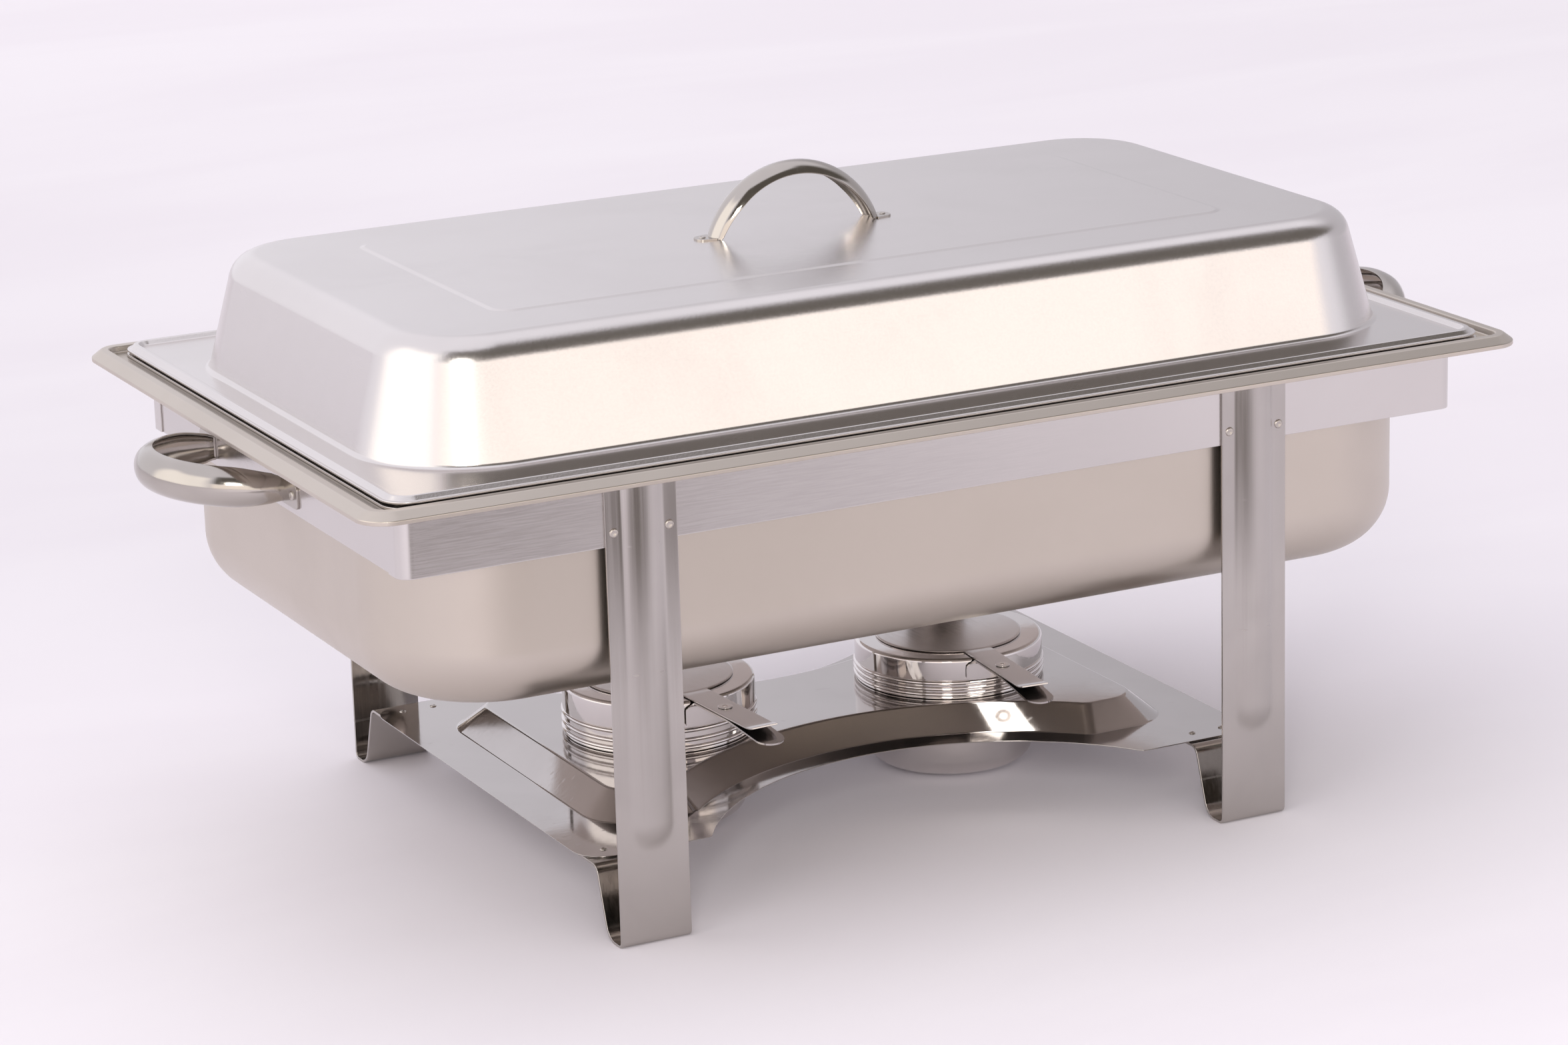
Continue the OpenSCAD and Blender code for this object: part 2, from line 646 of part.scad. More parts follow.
module snuffer(s) color(mirror_steel) at_burner(s) translate([0, 0, snuffer_foot(s)]) difference() {
    union() {
        cylinder(r = snuffer_r, h = snuffer_t);
        translate([-tail_w / 2, -tail_end_y, 0]) cube([tail_w, tail_end_y - snuffer_r + 2, snuffer_t]);
    }
    translate([0, -pivot_y, 0]) cylinder(r = eyelet_r + eyelet_fit, h = 6, center = true);
}

module pivot_eyelet(s) color(rivet_steel) at_burner(s) translate([0, -pivot_y, 0]) difference() {
    top = cover_top(s);
    union() {
        translate([0, 0, top - cup_t - 0.5]) cylinder(r = 3, h = 0.5);
        translate([0, 0, top - cup_t - 0.1]) cylinder(r = eyelet_r, h = 2.3);
        translate([0, 0, top + 0.3 + snuffer_t + 0.1]) cylinder(r = 3, h = 0.5);
    }
    translate([0, 0, top]) cylinder(r = 1.6, h = 20, center = true);
}

module fuel_cup_left() fuel_cup(-1);

module fuel_cup_right() fuel_cup(1);

module cover_left() cover(-1);

module cover_right() cover(1);

module grip_left() grip(-1);

module grip_right() grip(1);

module grip_rivets_left() grip_rivets(-1);

module grip_rivets_right() grip_rivets(1);

module snuffer_left() snuffer(-1);

module snuffer_right() snuffer(1);

module pivot_eyelet_left() pivot_eyelet(-1);

module pivot_eyelet_right() pivot_eyelet(1);

skirt_front();
skirt_back();
skirt_left();
skirt_right();
leg_front_left();
leg_front_right();
leg_back_left();
leg_back_right();
leg_rivets_front_left();
leg_rivets_front_right();
leg_rivets_back_left();
leg_rivets_back_right();
shelf();
shelf_rivets();
handle_left();
handle_right();
handle_rivets_left();
handle_rivets_right();
water_pan();
food_pan();
lid_shell();
lid_handle();
lid_handle_rivets();
fuel_cup_left();
fuel_cup_right();
cover_left();
cover_right();
grip_left();
grip_right();
grip_rivets_left();
grip_rivets_right();
snuffer_left();
snuffer_right();
pivot_eyelet_left();
pivot_eyelet_right();
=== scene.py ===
from math import acos, asin, atan2, cos, pi, radians, sin, sqrt, tan

import bmesh
import bpy
from mathutils import Matrix, Vector


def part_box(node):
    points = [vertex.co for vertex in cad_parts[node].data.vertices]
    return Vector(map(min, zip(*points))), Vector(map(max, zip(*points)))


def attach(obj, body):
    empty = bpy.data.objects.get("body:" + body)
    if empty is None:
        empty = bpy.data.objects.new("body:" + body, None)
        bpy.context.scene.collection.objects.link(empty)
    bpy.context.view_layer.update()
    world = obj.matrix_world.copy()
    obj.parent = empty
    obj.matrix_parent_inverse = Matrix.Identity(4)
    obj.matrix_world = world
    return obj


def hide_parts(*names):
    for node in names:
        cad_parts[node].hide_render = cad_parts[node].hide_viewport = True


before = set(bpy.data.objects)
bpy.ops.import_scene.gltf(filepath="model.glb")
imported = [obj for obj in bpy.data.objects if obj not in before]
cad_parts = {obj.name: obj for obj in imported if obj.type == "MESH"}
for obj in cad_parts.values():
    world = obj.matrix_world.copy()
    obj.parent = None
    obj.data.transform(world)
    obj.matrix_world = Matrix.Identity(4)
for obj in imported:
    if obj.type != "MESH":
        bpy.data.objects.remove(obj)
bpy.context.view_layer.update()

MM = 0.001
scene = bpy.context.scene
scene.view_settings.view_transform = "Standard"


# ---- camera, fitted to the dish's straight edges and corners ----

CAMERA_PLACE = (-0.9294, -1.834, 0.7092)
CAMERA_AZ, CAMERA_EL, CAMERA_ROLL = radians(-27.3), radians(16.05), radians(-1.495)
LENS_MM, SENSOR_MM = 107.08, 36


def make_camera():
    az, el, roll = CAMERA_AZ, CAMERA_EL, CAMERA_ROLL
    back = Vector((sin(az) * cos(el), -cos(az) * cos(el), sin(el)))
    level = Vector((cos(az), sin(az), 0))
    rise = back.cross(level)
    right = cos(roll) * level + sin(roll) * rise
    up = -sin(roll) * level + cos(roll) * rise
    data = bpy.data.cameras.new("camera")
    data.lens, data.sensor_width = LENS_MM, SENSOR_MM
    data.shift_x, data.shift_y = -0.03265, 0.01156
    data.clip_start, data.clip_end = 0.05, 100
    place = Matrix((right, up, back)).transposed().to_4x4()
    place.translation = Vector(CAMERA_PLACE)
    cam = bpy.data.objects.new("camera", data)
    cam.matrix_world = place
    scene.collection.objects.link(cam)
    scene.camera = cam


make_camera()


# ---- materials ----

def node_tree(name):
    mat = bpy.data.materials.new(name)
    mat.use_nodes = True
    nodes, links = mat.node_tree.nodes, mat.node_tree.links
    return mat, nodes, links, nodes["Principled BSDF"]


def noise_node(nodes, links, place, scale, detail=3.0, rough=0.55, warp=0.0):
    """Noise read in object space, stretched by the three scales."""
    mapping = nodes.new("ShaderNodeMapping")
    mapping.inputs["Scale"].default_value = scale
    links.new(place.outputs["Object"], mapping.inputs["Vector"])
    tex = nodes.new("ShaderNodeTexNoise")
    tex.inputs["Scale"].default_value = 1.0
    tex.inputs["Detail"].default_value = detail
    tex.inputs["Roughness"].default_value = rough
    tex.inputs["Distortion"].default_value = warp
    links.new(mapping.outputs["Vector"], tex.inputs["Vector"])
    return tex.outputs["Fac"]


def ranged(nodes, links, value, lo, hi, to_lo, to_hi):
    """A smooth step from to_lo to to_hi while the value goes from lo to hi."""
    m = nodes.new("ShaderNodeMapRange")
    m.interpolation_type = "SMOOTHSTEP"
    for key, v in (("From Min", lo), ("From Max", hi), ("To Min", to_lo), ("To Max", to_hi)):
        m.inputs[key].default_value = v
    links.new(value, m.inputs["Value"])
    return m.outputs["Result"]


def math_node(nodes, links, op, a, b):
    m = nodes.new("ShaderNodeMath")
    m.operation = op
    for socket, v in zip(m.inputs, (a, b)):
        if isinstance(v, (int, float)):
            socket.default_value = v
        else:
            links.new(v, socket)
    return m.outputs[0]


def mixed(nodes, links, factor, a, b):
    m = nodes.new("ShaderNodeMix")
    m.data_type = "RGBA"
    links.new(factor, m.inputs["Factor"])
    for socket, v in ((m.inputs[6], a), (m.inputs[7], b)):
        if isinstance(v, tuple):
            socket.default_value = (*v, 1.0)
        else:
            links.new(v, socket)
    return m.outputs[2]


def bump_node(nodes, links, height, strength, distance):
    node = nodes.new("ShaderNodeBump")
    node.inputs["Strength"].default_value = strength
    node.inputs["Distance"].default_value = distance
    links.new(height, node.inputs["Height"])
    return node


def steel(name, color, rough, spread, grain, bump, smudge, scratch=0.0, wavy=0.0):
    """Stainless sheet: a fine grain stretched as it was polished, soft handling smudges,
    a few hairline scratches and a slow waviness."""
    mat, nodes, links, shader = node_tree(name)
    shader.inputs["Metallic"].default_value = 1.0
    place = nodes.new("ShaderNodeTexCoord")
    fine = noise_node(nodes, links, place, grain, 4.0, 0.6)
    cloudy = noise_node(nodes, links, place, (14, 14, 14), 3.0, 0.6, 0.4)
    dark = tuple(c * (1 - 0.10 * smudge) for c in color)
    tint = ranged(nodes, links, cloudy, 0.35, 0.7, 0.0, 1.0)
    links.new(mixed(nodes, links, tint, color, dark), shader.inputs["Base Color"])
    value = ranged(nodes, links, fine, 0.3, 0.7, rough - spread, rough + spread)
    touched = ranged(nodes, links, cloudy, 0.4, 0.72, 0.0, 0.10 * smudge)
    value = math_node(nodes, links, "ADD", value, touched)
    if scratch:
        hair = noise_node(nodes, links, place, tuple(s * 0.5 for s in grain[::-1]), 1.0, 0.4)
        line = ranged(nodes, links, hair, 0.73, 0.78, 0.0, scratch)
        value = math_node(nodes, links, "ADD", value, line)
    links.new(value, shader.inputs["Roughness"])
    grained = bump_node(nodes, links, fine, bump, 0.001)
    if wavy:
        slow = noise_node(nodes, links, place, (9, 9, 9), 1.0, 0.4)
        soft = bump_node(nodes, links, slow, wavy, 0.01)
        links.new(soft.outputs["Normal"], grained.inputs["Normal"])
    links.new(grained.outputs["Normal"], shader.inputs["Normal"])
    return mat


LID = steel("lid_satin", (0.735, 0.70, 0.685), 0.23, 0.02, (900, 900, 900), 0.035, 0.25, wavy=0.004)
PAN = steel("pan_satin", (0.60, 0.545, 0.485), 0.34, 0.02, (1500, 1500, 1500), 0.01, 0.3, wavy=0.004)
RIM = steel("food_pan_satin", (0.62, 0.58, 0.55), 0.2, 0.02, (700, 900, 900), 0.02, 0.2)
BAND = steel("band_satin", (0.66, 0.63, 0.615), 0.2, 0.03, (60, 900, 1500), 0.02, 0.3)
LEG = steel("leg_polish", (0.50, 0.47, 0.445), 0.13, 0.06, (500, 500, 6), 0.02, 0.8, scratch=0.2)
SHELF = steel("shelf_mirror", (0.52, 0.49, 0.475), 0.07, 0.02, (300, 500, 300), 0.006, 0.5, scratch=0.1)
BURNER = steel("burner_mirror", (0.70, 0.665, 0.65), 0.06, 0.02, (400, 400, 400), 0.006, 0.3)
DISC = steel("snuffer_satin", (0.60, 0.565, 0.55), 0.16, 0.03, (900, 120, 900), 0.012, 0.3)
HANDLE = steel("handle_polish", (0.51, 0.475, 0.44), 0.10, 0.03, (200, 200, 200), 0.01, 0.9, wavy=0.02)
WELD = steel("weld_brown", (0.34, 0.23, 0.16), 0.4, 0.05, (900, 900, 900), 0.03, 0.6)
SPOT = steel("rivet_dull", (0.55, 0.51, 0.47), 0.3, 0.05, (900, 900, 900), 0.03, 0.6)


# ---- mesh helpers; lengths in millimetres until the mesh is made ----

def turned(vec, angle):
    return Vector((vec.x * cos(angle) - vec.y * sin(angle), vec.x * sin(angle) + vec.y * cos(angle)))


def fillet(corners, seg=6):
    """Open polyline through (x, y, radius) corners with every corner rounded to its radius."""
    out = []
    for i, (x, y, r) in enumerate(corners):
        at = Vector((x, y))
        if r <= 0 or i in (0, len(corners) - 1):
            out.append((x, y))
            continue
        a = Vector(corners[i - 1][:2]) - at
        b = Vector(corners[i + 1][:2]) - at
        half = acos(max(-1.0, min(1.0, a.normalized().dot(b.normalized())))) / 2
        if half > pi / 2 - 0.001:
            out.append((x, y))
            continue
        reach = min(r / tan(half), a.length * 0.49, b.length * 0.49)
        r = reach * tan(half)
        mid = at + (a.normalized() + b.normalized()).normalized() * (r / sin(half))
        u, v = at + a.normalized() * reach - mid, at + b.normalized() * reach - mid
        sweep = (atan2(v.y, v.x) - atan2(u.y, u.x) + pi) % (2 * pi) - pi
        out += [tuple(mid + turned(u, sweep * k / seg)) for k in range(seg + 1)]
    return out


def ring(half_x, half_y, r, z, corner=20, side=8):
    """Rounded rectangle at height z, anticlockwise."""
    pts = []
    for q, (sx, sy) in enumerate(((1, 1), (-1, 1), (-1, -1), (1, -1))):
        for k in range(corner + 1):
            t = pi / 2 * (q + k / corner)
            pts.append(Vector((sx * (half_x - r) + r * cos(t), sy * (half_y - r) + r * sin(t), z)))
    out = []
    for i, p in enumerate(pts):
        out.append(p)
        if i % (corner + 1) == corner:
            nxt = pts[(i + 1) % len(pts)]
            out += [p.lerp(nxt, k / side) for k in range(1, side)]
    return out


def swept(half_x, half_y, r, profile):
    """One ring for each (offset, z) of a profile carried round a rounded rectangle."""
    return [ring(half_x + d, half_y + d, max(r + d, 0.3), z) for d, z in profile]


def lathe(profile, turns=96):
    """One ring for each (radius, z) of a profile carried round the origin."""
    return [[Vector((r * cos(2 * pi * k / turns), r * sin(2 * pi * k / turns), z)) for k in range(turns)]
            for r, z in profile]


def across(half, steps):
    """Evenly spaced places from -half to half."""
    return [-half + 2 * half * k / steps for k in range(steps + 1)]


def sides(node):
    """Lowest and highest corner of a CAD node, in millimetres."""
    lo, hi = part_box(node)
    return lo / MM, hi / MM


class Sheet:
    """Collects rows of points into one mesh, the outer or upper face of a sheet."""

    def __init__(self):
        self.bm = bmesh.new()

    def row(self, pts):
        return [self.bm.verts.new(p) for p in pts]

    def face(self, verts):
        verts = list(dict.fromkeys(verts))
        if len(verts) > 2:
            try:
                self.bm.faces.new(verts)
            except ValueError:
                pass

    def join(self, rows, around=False, loop=False, flip=False):
        """Faces between neighbouring rows; around closes each row, loop joins the last to the first."""
        rows = [r if r and isinstance(r[0], bmesh.types.BMVert) else self.row(r) for r in rows]
        for a, b in zip(rows, rows[1:] + ([rows[0]] if loop else [])):
            n = len(a)
            for i in range(n if around else n - 1):
                quad = (a[i], a[(i + 1) % n], b[(i + 1) % n], b[i])
                self.face(quad[::-1] if flip else quad)
        return rows

    def face_up(self):
        """Turns all faces one way, with the upper side outward."""
        bmesh.ops.recalc_face_normals(self.bm, faces=self.bm.faces)
        if sum(f.normal.z for f in self.bm.faces) < 0:
            bmesh.ops.reverse_faces(self.bm, faces=self.bm.faces)

    def piece(self, node, material, body, thick=0.0, bevel=0.0, merge=1e-4):
        """Makes the object that stands for one CAD node and rides its body."""
        if merge:
            bmesh.ops.remove_doubles(self.bm, verts=self.bm.verts, dist=merge)
        bmesh.ops.scale(self.bm, vec=(MM, MM, MM), verts=self.bm.verts)
        me = bpy.data.meshes.new(node + "_visual")
        self.bm.to_mesh(me)
        self.bm.free()
        me.shade_smooth()
        me.set_sharp_from_angle(angle=radians(38))
        me.materials.append(material)
        obj = bpy.data.objects.new(node + "_visual", me)
        scene.collection.objects.link(obj)
        if thick:
            m = obj.modifiers.new("sheet", "SOLIDIFY")
            m.thickness, m.offset, m.use_even_offset = thick * MM, -1.0, True
        if bevel:
            m = obj.modifiers.new("edge", "BEVEL")
            m.width, m.segments, m.limit_method, m.angle_limit = bevel * MM, 2, "ANGLE", radians(50)
            m.use_clamp_overlap = True
        m = obj.modifiers.new("shade", "WEIGHTED_NORMAL")
        m.keep_sharp = True
        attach(obj, body)
        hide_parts(node)


SIDES = (("left", -1), ("right", 1))
THIN, LEG_T = 0.8, 1.2      # sheet of pans, band, shelf and burners; sheet of the legs


# ---- lid, food pan, water pan; a rounded rectangle is half length, half width, corner radius ----

FLANGE_CORNER, RIM_CORNER = 12, 14
DOME, PANEL = (248.5, 132.0, 52.0), (178.5, 77.5, 8.0)
DOME_LEAN, DOME_ROUND, PANEL_STEP = radians(15), 18, 0.45
WELL, WELL_BEND = (246.7, 138.2, 54.2), 21.2
TANK, TANK_BEND = (252.0, 143.2, 57.2), 34.2


def pressed(node, rows, material, body, bevel):
    """A sheet pressed from rings, with a flat across the last one."""
    sheet = Sheet()
    rows = sheet.join(rows, around=True)
    sheet.face(rows[-1])
    sheet.piece(node, material, body, THIN, bevel)


def lid_piece():
    lo, hi = sides("lid_shell")
    low, top = lo.z, hi.z
    face, shoulder = low + 1.0, top - PANEL_STEP
    lip, ridge = face - 0.1, face + 1.8
    rim = fillet([(0, low, 0), (0, lip, 0.4), (-1.4, lip, 0.5), (-3.2, ridge, 0.9),
                  (-5.3, ridge, 0.9), (-7.2, face, 1.2), (-9, face, 0)], 5)
    lean = tan(DOME_LEAN) * (top - face)
    dome = fillet([(4, face, 0), (0, face, 2.5), (-lean, shoulder, DOME_ROUND), (-34, shoulder, 0)], 14)
    panel = fillet([(7, shoulder, 0), (2.2, shoulder, 1.6), (0, top, 1.6), (-6, top, 0)], 4)
    rows = swept(hi.x, hi.y, FLANGE_CORNER, rim) + swept(*DOME, dome) + swept(*PANEL, panel)
    pressed("lid_shell", rows, LID, "lid", 0.15)


def food_pan_piece():
    lo, hi = sides("food_pan")
    seat, low, floor_z = hi.z, hi.z - 2.2, lo.z + THIN
    rim = fillet([(0, low, 0), (0, low + 1.0, 0.4), (-5.2, seat, 1.5), (-9, seat, 0)], 5)
    well = fillet([(9, seat, 0), (0, seat, 3), (0, floor_z, WELL_BEND), (-50, floor_z, 0)], 12)
    rows = swept(hi.x, hi.y, FLANGE_CORNER, rim) + swept(*WELL, well)
    pressed("food_pan", rows, RIM, "food_pan", 0.15)


def water_pan_piece():
    lo, hi = sides("water_pan")
    ridge, floor_z = hi.z, lo.z + THIN
    seat = ridge - 2.8
    rim = fillet([(-0.5, seat - 2.2, 0), (0, seat - 2.2, 0.25), (0, seat - 0.4, 0.7), (-4.2, ridge, 1.3),
                  (-8, ridge, 0.9), (-9.0, seat, 0.8), (-10.5, seat, 0)], 5)
    tank = fillet([(14, seat, 0), (0, seat, 3), (0, floor_z, TANK_BEND), (-55, floor_z, 0)], 16)
    rows = swept(hi.x, hi.y, RIM_CORNER, rim) + swept(*TANK, tank)
    pressed("water_pan", rows, PAN, "water_pan", 0.12)


# ---- frame band ----

BAND_CORNER = 15


def band_piece(node, path, levels):
    sheet = Sheet()
    sheet.join([[Vector((x, y, z)) for x, y in path] for z in levels])
    sheet.piece(node, BAND, "frame", THIN, 0.2)


def band_pieces():
    """Front and back halves wrap round the corners, and the end plates lie over their laps."""
    lo, hi = sides("skirt_front")
    half_x, half_y, lap = hi.x, -lo.y, -hi.y
    low, top = lo.z, hi.z
    levels = [low, low + 0.5, low + 2, (low + top) / 2, top - 1, top]
    half = fillet([(-half_x, -lap, 0), (-half_x, -half_y, BAND_CORNER),
                   (half_x, -half_y, BAND_CORNER), (half_x, -lap, 0)], 16)
    for node, turn in (("skirt_front", 1), ("skirt_back", -1)):
        band_piece(node, [(turn * x, turn * y) for x, y in half], levels)
    for side, s in SIDES:
        lo, hi = sides("skirt_" + side)
        face = s * max(abs(lo.x), abs(hi.x))
        places = [lo.y, lo.y + 2, -60, 0, 60, hi.y - 2, hi.y]
        band_piece("skirt_" + side, [(face, s * y) for y in places], levels)


# ---- legs: a face with a pressed rib, bent under at the foot and up to the shelf ----

LEG_X, LEG_FACE, LEG_HALF = 149.7, 149.2, 16.5
RIB_CHORD, RIB_R, RIB_FOOT = 9.5, 16.0, 53.5
RIB_DENSE = 62          # rows lie close together from here down, where the rib ends
FACE_LOW = 34           # below this the face is flat
# depth behind the face, height and radius of the bends
HOOK = [(0, 0, 3.2), (13.99, 0, 11.5), (23.9, 29.8, 4), (43.3, 29.8, 0)]


def rib_height(u, z):
    """How far the pressed rib stands out of the leg's face."""
    below = max(0.0, RIB_FOOT - z)
    ball = sqrt(max(RIB_R * RIB_R - u * u - below * below, 0.0))
    h = ball - sqrt(RIB_R * RIB_R - RIB_CHORD * RIB_CHORD)
    return 0.5 * (h + sqrt(h * h + 0.16))


def leg_piece(node, sx, sy):
    top = sides(node)[1].z
    path = fillet([(0, top, 0)] + HOOK, 10)
    stations = [(0.0, top - (top - RIB_DENSE) * k / 12) for k in range(13)]
    stations += [(0.0, RIB_DENSE - 2 * k) for k in range(1, 14)]
    stations += [p for p in path[1:] if p[1] < FACE_LOW or p[0] > 0.01]
    rows = []
    for depth, z in stations:
        row = []
        for u in reversed(across(LEG_HALF, 44)):
            out = rib_height(u, z) if depth < 0.01 and z > FACE_LOW else 0.0
            row.append(Vector((sx * LEG_X + u, sy * (LEG_FACE - depth + out), z)))
        rows.append(row)
    sheet = Sheet()
    sheet.join(rows, flip=sy > 0)
    sheet.piece(node, LEG, "frame", LEG_T, 0.22)


# ---- burner shelf: a border, a sloped wall and a raised platform with two holes ----

BURNER_X, CUP_R, COVER_R, PIVOT_Y = 75.3, 39.0, 44.0, 62.5
BURNER_TURN = {-1: radians(3), 1: radians(-5.3)}
BITE_Y, BORDER_BITE, PLATFORM_BITE = 186.5, 127, 140
BORDER_CORNER, BORDER_JOIN, PLATFORM_JOIN = 15, 3, 8      # a join is where bite and side meet
PLATFORM, WALL_LEAN = (145.5, 89, 27), 12.5


def shelf_outline(bite, half_x, half_y, corner, join, z):
    """Outline with a curved bite in each long side; the same number of points whatever its size."""
    meet = sqrt(bite * bite - (BITE_Y - half_y) ** 2)
    quarter = [(meet * k / 16, -BITE_Y + sqrt(bite * bite - (meet * k / 16) ** 2), 0) for k in range(16)]
    quarter += [(meet, -half_y, join), (half_x, -half_y, corner), (half_x, 0, 0)]
    pts = fillet(quarter, 10)
    right = pts + [(x, -y) for x, y in pts[-2::-1]]
    left = [(-x, y) for x, y in right[-2:0:-1]]
    return [Vector((x, y, z)) for x, y in right + left]


def shelf_piece():
    lo, hi = sides("shelf")
    border, top = lo.z + THIN, hi.z
    half_x, half_y, corner = PLATFORM
    # wall: offset inward against height, rounded at its foot and at the top edge
    wall = fillet([(-5, border, 0), (0, border, 1.6), (WALL_LEAN, top, 2.4), (WALL_LEAN + 4, top, 0)], 6)
    rows = [shelf_outline(BORDER_BITE, hi.x, hi.y, BORDER_CORNER, BORDER_JOIN, z)
            for z in (lo.z + 0.4, border)]
    for d, z in wall:
        rows.append(shelf_outline(PLATFORM_BITE + d, half_x - d, half_y - d, corner - d, PLATFORM_JOIN, z))
    sheet = Sheet()
    loops = [sheet.join(rows, around=True)[-1]]
    for s in (-1, 1):
        hole = lathe([(CUP_R + 0.8, top)], 72)[0]
        loops.append(sheet.row([p + Vector((s * BURNER_X, 0, 0)) for p in hole]))
    edges = []
    for loop in loops:
        for v, w in zip(loop, loop[1:] + loop[:1]):
            edges.append(sheet.bm.edges.get((v, w)) or sheet.bm.edges.new((v, w)))
    filled = bmesh.ops.triangle_fill(sheet.bm, edges=edges, use_beauty=True, normal=(0, 0, 1))
    for f in filled["geom"]:
        if isinstance(f, bmesh.types.BMFace) and f.normal.z < 0:
            f.normal_flip()
    sheet.piece("shelf", SHELF, "frame", THIN, 0.15)


# ---- burners: made about the origin, tail towards the front, then put in place ----

CUP_BEND, MOUTH_R, DISC_R = 8, 31.0, 34.3
COVER_BEADS = {-1: (1.4, 5.0, 9.4), 1: (1.4, 4.1, 6.8)}     # heights over the cover's foot
BEAD_R = 1.05
TAIL_HALF, TAIL_END, GRIP_END = 6.75, 98.0, 108.0
CURL_FROM, CURL = 91, 1.1
GRIP_PAD = {-1: 11.4, 1: 9.8}
DROP_FROM, DROP = 76, 3.3


def at_burner(sheet, s):
    verts = sheet.bm.verts
    bmesh.ops.rotate(sheet.bm, verts=verts, cent=(0, 0, 0), matrix=Matrix.Rotation(BURNER_TURN[s], 3, "Z"))
    bmesh.ops.translate(sheet.bm, verts=verts, vec=(s * BURNER_X, 0, 0))


def cup_piece(side, s):
    lo, hi = sides("fuel_cup_" + side)
    r, foot, top, flange = CUP_R, lo.z, hi.z, hi.y
    outer = fillet([(0, foot, 0), (r, foot, CUP_BEND), (r, top - THIN, 0.3), (flange, top - THIN, 0.25),
                    (flange, top, 0.25), (r - THIN, top, 0.6),
                    (r - THIN, foot + THIN, CUP_BEND - THIN), (0, foot + THIN, 0)], 10)
    sheet = Sheet()
    sheet.join(lathe(outer), around=True)
    at_burner(sheet, s)
    sheet.piece("fuel_cup_" + side, BURNER, "burner_" + side)


def bead(r, z, size, steps=6):
    """Half round that stands out of a wall."""
    turns = [pi * k / steps - pi / 2 for k in range(steps + 1)]
    return [(r + size * cos(t), z + size * sin(t)) for t in turns]


def cover_piece(side, s):
    lo, hi = sides("cover_" + side)
    r, foot, top = COVER_R, lo.z, hi.z
    outer = [(r - THIN, foot), (r - 0.2, foot)]
    for z in COVER_BEADS[s]:
        outer += bead(r - 0.35, foot + z, BEAD_R)
    outer += fillet([(r, foot + COVER_BEADS[s][-1] + 1.5, 0), (r, top, 1.8),
                     (MOUTH_R, top, 0.7), (MOUTH_R, top - 3, 0)], 8)
    outer += fillet([(MOUTH_R + THIN, top - 3, 0), (MOUTH_R + THIN, top - THIN, 0.3),
                     (r - THIN, top - THIN, 1.0), (r - THIN, foot, 0)], 4)
    sheet = Sheet()
    sheet.join(lathe(outer, 120), around=True)
    at_burner(sheet, s)
    sheet.piece("cover_" + side, BURNER, "burner_" + side)


def snuffer_piece(side, s):
    """Flat disc whose rim runs out into a tail that curls up at its end."""
    top, r, turns = sides("snuffer_" + side)[1].z, DISC_R, 96
    sheet = Sheet()
    profile = [(0, top), (r * 0.5, top), (r - 1.2, top), (r - 0.5, top - 0.04), (r, top - 0.22)]
    edge = sheet.join(lathe(profile, turns), around=True)[-1]
    front = turns * 3 // 4
    tail = [edge[front - 3:front + 4]]
    for y in (36.5, 40, 46, 54, 64, 78, 88, 92, 94, 96, TAIL_END):
        lift = CURL * max(0.0, (y - CURL_FROM) / (TAIL_END - CURL_FROM)) ** 2
        half = TAIL_HALF if y < TAIL_END else TAIL_HALF - 0.4
        tail.append([Vector((x, -y, top + lift)) for x in across(half, 6)])
    sheet.join(tail, flip=True)
    sheet.face_up()
    at_burner(sheet, s)
    sheet.piece("snuffer_" + side, DISC, "snuffer_" + side, THIN, 0.15)


def grip_piece(side, s):
    """Pad on the cover's wall, folded over at the top and carried out to a rounded, drooping end."""
    top, wrap, deep = sides("grip_" + side)[1].z, COVER_R + 0.9, GRIP_PAD[s]
    rows = []
    pad = ((deep, 9.0), (deep - 0.7, 10.0), (8, 10), (5, 10), (3.4, 9.8), (2.4, 8.8), (1.6, 7.6))
    for below, half in pad:
        rows.append([Vector((x, -sqrt(wrap * wrap - x * x), top - below)) for x in across(half, 10)])
    fold = ((wrap + 0.4, 0.75, 7.1), (wrap + 1, 0.25, 6.85), (wrap + 2, 0, TAIL_HALF), (51, 0, TAIL_HALF))
    for y, below, half in fold:
        rows.append([Vector((x, -y, top - below)) for x in across(half, 10)])
    nose = GRIP_END - TAIL_HALF
    stations = [57, 66, 74, 78, 81, 85, 90, 96, 99]
    stations += [nose + TAIL_HALF * sin(pi / 2 * k / 7) for k in range(8)]
    for y in stations:
        half = max(sqrt(max(TAIL_HALF ** 2 - max(0.0, y - nose) ** 2, 0.0)), 0.4)
        drop = DROP * max(0.0, (y - DROP_FROM) / (GRIP_END - DROP_FROM)) ** 1.1
        rows.append([Vector((x, -y, top - drop)) for x in across(half, 10)])
    sheet = Sheet()
    sheet.join(rows)
    sheet.face_up()
    at_burner(sheet, s)
    sheet.piece("grip_" + side, DISC, "burner_" + side, THIN, 0.15, merge=0)


def eyelet_piece(side, s):
    lo, hi = sides("pivot_eyelet_" + side)
    bore, neck, flare = 1.3, 2.2, 3.3
    outer = fillet([(bore, lo.z, 0), (flare, lo.z, 0.15), (flare, lo.z + 0.5, 0.2), (neck, lo.z + 0.5, 0),
                    (neck, hi.z - 0.5, 0), (flare, hi.z - 0.5, 0.2),
                    (flare, hi.z, 0.25), (bore, hi.z, 0.3)], 4)
    sheet = Sheet()
    sheet.join(lathe(outer, 36), around=True, loop=True)
    bmesh.ops.translate(sheet.bm, verts=sheet.bm.verts, vec=(0, -PIVOT_Y, 0))
    at_burner(sheet, s)
    sheet.piece("pivot_eyelet_" + side, BURNER, "burner_" + side)


# ---- handles: half-round channels with a lug at each end ----

